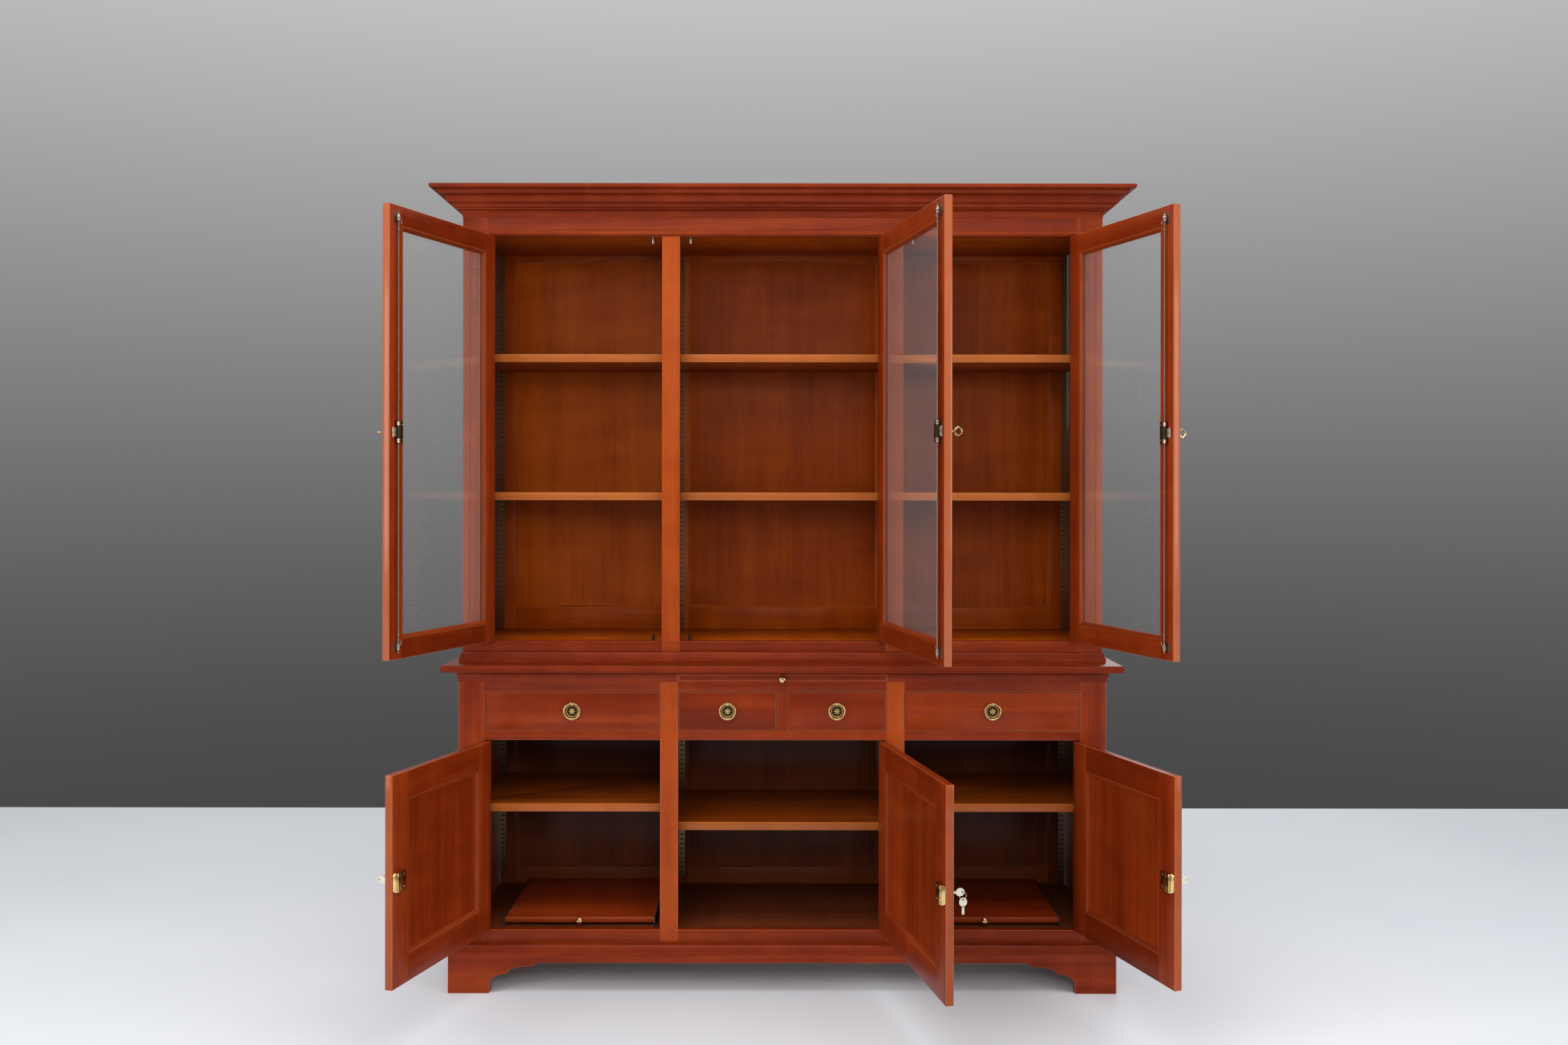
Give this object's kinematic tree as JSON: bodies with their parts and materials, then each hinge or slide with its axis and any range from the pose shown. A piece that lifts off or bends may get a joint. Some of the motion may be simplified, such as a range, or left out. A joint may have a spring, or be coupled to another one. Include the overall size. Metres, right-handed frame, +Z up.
{
  "type": "china cabinet",
  "caption": "Tall china cabinet in two cases: glazed doors with rod locks over drawers, panelled doors, pull-out trays and a writing slide.",
  "frame": {"origin": "on the floor, under the middle of the cabinet with its doors open as stored", "axes": "+Z up, -Y towards the front where the doors open, +X to the right seen from the front"},
  "size_m": [1.7982, 0.9258, 1.98],
  "materials": {
    "mahogany": "semi-gloss polish over red-brown mahogany",
    "interior_wood": "satin, lighter golden-brown inside",
    "brass": "polished, darkened in the recesses",
    "nickel": "worn nickel plate",
    "glass": "clear sheet glass"
  },
  "bodies": {
    "cabinet": {"plinth": "mahogany", "lower_face_frame": "mahogany", "lower_side_left": "mahogany", "lower_side_right": "mahogany", "lower_floor": "interior_wood", "lower_back": "interior_wood", "lower_divider_left": "interior_wood", "lower_divider_right": "interior_wood", "drawer_deck": "interior_wood", "waist_top": "mahogany", "lower_shelf_left": "interior_wood", "lower_shelf_middle": "interior_wood", "lower_shelf_right": "interior_wood", "upper_floor": "interior_wood", "upper_top": "interior_wood", "upper_back": "interior_wood", "upper_side_left": "mahogany", "upper_side_right": "mahogany", "upper_divider_left": "interior_wood", "upper_divider_right": "interior_wood", "upper_face_frame": "mahogany", "cornice": "mahogany", "upper_shelf_low_left": "interior_wood", "upper_shelf_low_middle": "interior_wood", "upper_shelf_low_right": "interior_wood", "upper_shelf_high_left": "interior_wood", "upper_shelf_high_middle": "interior_wood", "upper_shelf_high_right": "interior_wood"},
    "upper_door_left": {"upper_door_left": "mahogany", "glass_left": "glass"},
    "upper_key_left": {"upper_key_left": "brass"},
    "rod_lower_left": {"rod_lower_left": "nickel"},
    "rod_upper_left": {"rod_upper_left": "nickel"},
    "lower_door_left": {"lower_door_left": "mahogany"},
    "lower_key_left": {"lower_key_left": "nickel"},
    "upper_door_middle": {"upper_door_middle": "mahogany", "glass_middle": "glass"},
    "upper_key_middle": {"upper_key_middle": "brass"},
    "rod_lower_middle": {"rod_lower_middle": "nickel"},
    "rod_upper_middle": {"rod_upper_middle": "nickel"},
    "lower_door_middle": {"lower_door_middle": "mahogany"},
    "lower_key_middle": {"lower_key_middle": "nickel"},
    "upper_door_right": {"upper_door_right": "mahogany", "glass_right": "glass"},
    "upper_key_right": {"upper_key_right": "brass"},
    "rod_lower_right": {"rod_lower_right": "nickel"},
    "rod_upper_right": {"rod_upper_right": "nickel"},
    "lower_door_right": {"lower_door_right": "mahogany"},
    "lower_key_right": {"lower_key_right": "nickel"},
    "drawer_left": {"drawer_left": "mahogany"},
    "ring_pull_left": {"ring_pull_left": "brass"},
    "drawer_centre_left": {"drawer_centre_left": "mahogany"},
    "ring_pull_centre_left": {"ring_pull_centre_left": "brass"},
    "drawer_centre_right": {"drawer_centre_right": "mahogany"},
    "ring_pull_centre_right": {"ring_pull_centre_right": "brass"},
    "drawer_right": {"drawer_right": "mahogany"},
    "ring_pull_right": {"ring_pull_right": "brass"},
    "pull_out_tray_left": {"pull_out_tray_left": "mahogany"},
    "pull_out_tray_right": {"pull_out_tray_right": "mahogany"},
    "writing_slide": {"writing_slide": "mahogany"}
  },
  "joints": [
    {"name": "upper_door_left_hinge", "type": "hinge", "parent": "cabinet", "child": "upper_door_left", "pos_m": [-0.7313, 0.08144, 1.3582], "axis": [0, 0, -1], "range_deg": [-110, 5]},
    {"name": "upper_key_left_turn", "type": "hinge", "parent": "upper_door_left", "child": "upper_key_left", "pos_m": [-0.87043, -0.30082, 1.3582], "axis": [-0.9397, 0.342, 0], "range_deg": [0, 90]},
    {"name": "rod_lower_left_slide", "type": "slide", "parent": "upper_door_left", "child": "rod_lower_left", "axis": [0, 0, -1], "range_m": [0, 0.01]},
    {"name": "rod_upper_left_slide", "type": "slide", "parent": "upper_door_left", "child": "rod_upper_left", "axis": [0, 0, 1], "range_m": [0, 0.01]},
    {"name": "lower_door_left_hinge", "type": "hinge", "parent": "cabinet", "child": "lower_door_left", "pos_m": [-0.7313, 0.03794, 0.38235], "axis": [0, 0, -1], "range_deg": [-107, 5]},
    {"name": "lower_key_left_turn", "type": "hinge", "parent": "lower_door_left", "child": "lower_key_left", "pos_m": [-0.85071, -0.35261, 0.38235], "axis": [-0.9563, 0.2924, 0], "range_deg": [0, 90]},
    {"name": "upper_door_middle_hinge", "type": "hinge", "parent": "cabinet", "child": "upper_door_middle", "pos_m": [0.2542, 0.08144, 1.3582], "axis": [0, 0, 1], "range_deg": [-102.2, 5]},
    {"name": "upper_key_middle_turn", "type": "hinge", "parent": "upper_door_middle", "child": "upper_key_middle", "pos_m": [0.35686, -0.39339, 1.3582], "axis": [0.9774, 0.2113, 0], "range_deg": [0, 90]},
    {"name": "rod_lower_middle_slide", "type": "slide", "parent": "upper_door_middle", "child": "rod_lower_middle", "axis": [0, 0, -1], "range_m": [0, 0.01]},
    {"name": "rod_upper_middle_slide", "type": "slide", "parent": "upper_door_middle", "child": "rod_upper_middle", "axis": [0, 0, 1], "range_m": [0, 0.01]},
    {"name": "lower_door_middle_hinge", "type": "hinge", "parent": "cabinet", "child": "lower_door_middle", "pos_m": [0.2542, 0.03794, 0.38235], "axis": [0, 0, 1], "range_deg": [-102.1, 5]},
    {"name": "lower_key_middle_turn", "type": "hinge", "parent": "lower_door_middle", "child": "lower_key_middle", "pos_m": [0.35637, -0.43863, 0.38235], "axis": [0.9778, 0.2096, 0], "range_deg": [0, 90]},
    {"name": "upper_door_right_hinge", "type": "hinge", "parent": "cabinet", "child": "upper_door_right", "pos_m": [0.7313, 0.08144, 1.3582], "axis": [0, 0, 1], "range_deg": [-109.3, 5]},
    {"name": "upper_key_right_turn", "type": "hinge", "parent": "upper_door_right", "child": "upper_key_right", "pos_m": [0.86575, -0.3025, 1.3582], "axis": [0.9438, 0.3305, 0], "range_deg": [0, 90]},
    {"name": "rod_lower_right_slide", "type": "slide", "parent": "upper_door_right", "child": "rod_lower_right", "axis": [0, 0, -1], "range_m": [0, 0.01]},
    {"name": "rod_upper_right_slide", "type": "slide", "parent": "upper_door_right", "child": "rod_upper_right", "axis": [0, 0, 1], "range_m": [0, 0.01]},
    {"name": "lower_door_right_hinge", "type": "hinge", "parent": "cabinet", "child": "lower_door_right", "pos_m": [0.7313, 0.03794, 0.38235], "axis": [0, 0, 1], "range_deg": [-108, 5]},
    {"name": "lower_key_right_turn", "type": "hinge", "parent": "lower_door_right", "child": "lower_key_right", "pos_m": [0.8575, -0.35047, 0.38235], "axis": [0.9511, 0.309, 0], "range_deg": [0, 90]},
    {"name": "drawer_left_slide", "type": "slide", "parent": "cabinet", "child": "drawer_left", "axis": [0, -1, 0], "range_m": [0, 0.3]},
    {"name": "ring_pull_left_swing", "type": "hinge", "parent": "drawer_left", "child": "ring_pull_left", "pos_m": [-0.5166, 0.03134, 0.70615], "axis": [-1, 0, 0], "range_deg": [0, 90]},
    {"name": "drawer_centre_left_slide", "type": "slide", "parent": "cabinet", "child": "drawer_centre_left", "axis": [0, -1, 0], "range_m": [0, 0.3]},
    {"name": "ring_pull_centre_left_swing", "type": "hinge", "parent": "drawer_centre_left", "child": "ring_pull_centre_left", "pos_m": [-0.1344, 0.03134, 0.70615], "axis": [-1, 0, 0], "range_deg": [0, 90]},
    {"name": "drawer_centre_right_slide", "type": "slide", "parent": "cabinet", "child": "drawer_centre_right", "axis": [0, -1, 0], "range_m": [0, 0.3]},
    {"name": "ring_pull_centre_right_swing", "type": "hinge", "parent": "drawer_centre_right", "child": "ring_pull_centre_right", "pos_m": [0.1344, 0.03134, 0.70615], "axis": [-1, 0, 0], "range_deg": [0, 90]},
    {"name": "drawer_right_slide", "type": "slide", "parent": "cabinet", "child": "drawer_right", "axis": [0, -1, 0], "range_m": [0, 0.3]},
    {"name": "ring_pull_right_swing", "type": "hinge", "parent": "drawer_right", "child": "ring_pull_right", "pos_m": [0.5166, 0.03134, 0.70615], "axis": [-1, 0, 0], "range_deg": [0, 90]},
    {"name": "pull_out_tray_left_slide", "type": "slide", "parent": "cabinet", "child": "pull_out_tray_left", "axis": [0, -1, 0], "range_m": [0, 0.24]},
    {"name": "pull_out_tray_right_slide", "type": "slide", "parent": "cabinet", "child": "pull_out_tray_right", "axis": [0, -1, 0], "range_m": [0, 0.24]},
    {"name": "writing_slide_slide", "type": "slide", "parent": "cabinet", "child": "writing_slide", "axis": [0, -1, 0], "range_m": [0, 0.28]}
  ],
  "couplings": [
    {"joint": "rod_upper_left_slide", "follows": "rod_lower_left_slide", "ratio": 1},
    {"joint": "upper_key_left_turn", "follows": "rod_lower_left_slide", "rad_per_m": 157.07},
    {"joint": "rod_upper_middle_slide", "follows": "rod_lower_middle_slide", "ratio": 1},
    {"joint": "upper_key_middle_turn", "follows": "rod_lower_middle_slide", "rad_per_m": 157.07},
    {"joint": "rod_upper_right_slide", "follows": "rod_lower_right_slide", "ratio": 1},
    {"joint": "upper_key_right_turn", "follows": "rod_lower_right_slide", "rad_per_m": 157.07}
  ]
}
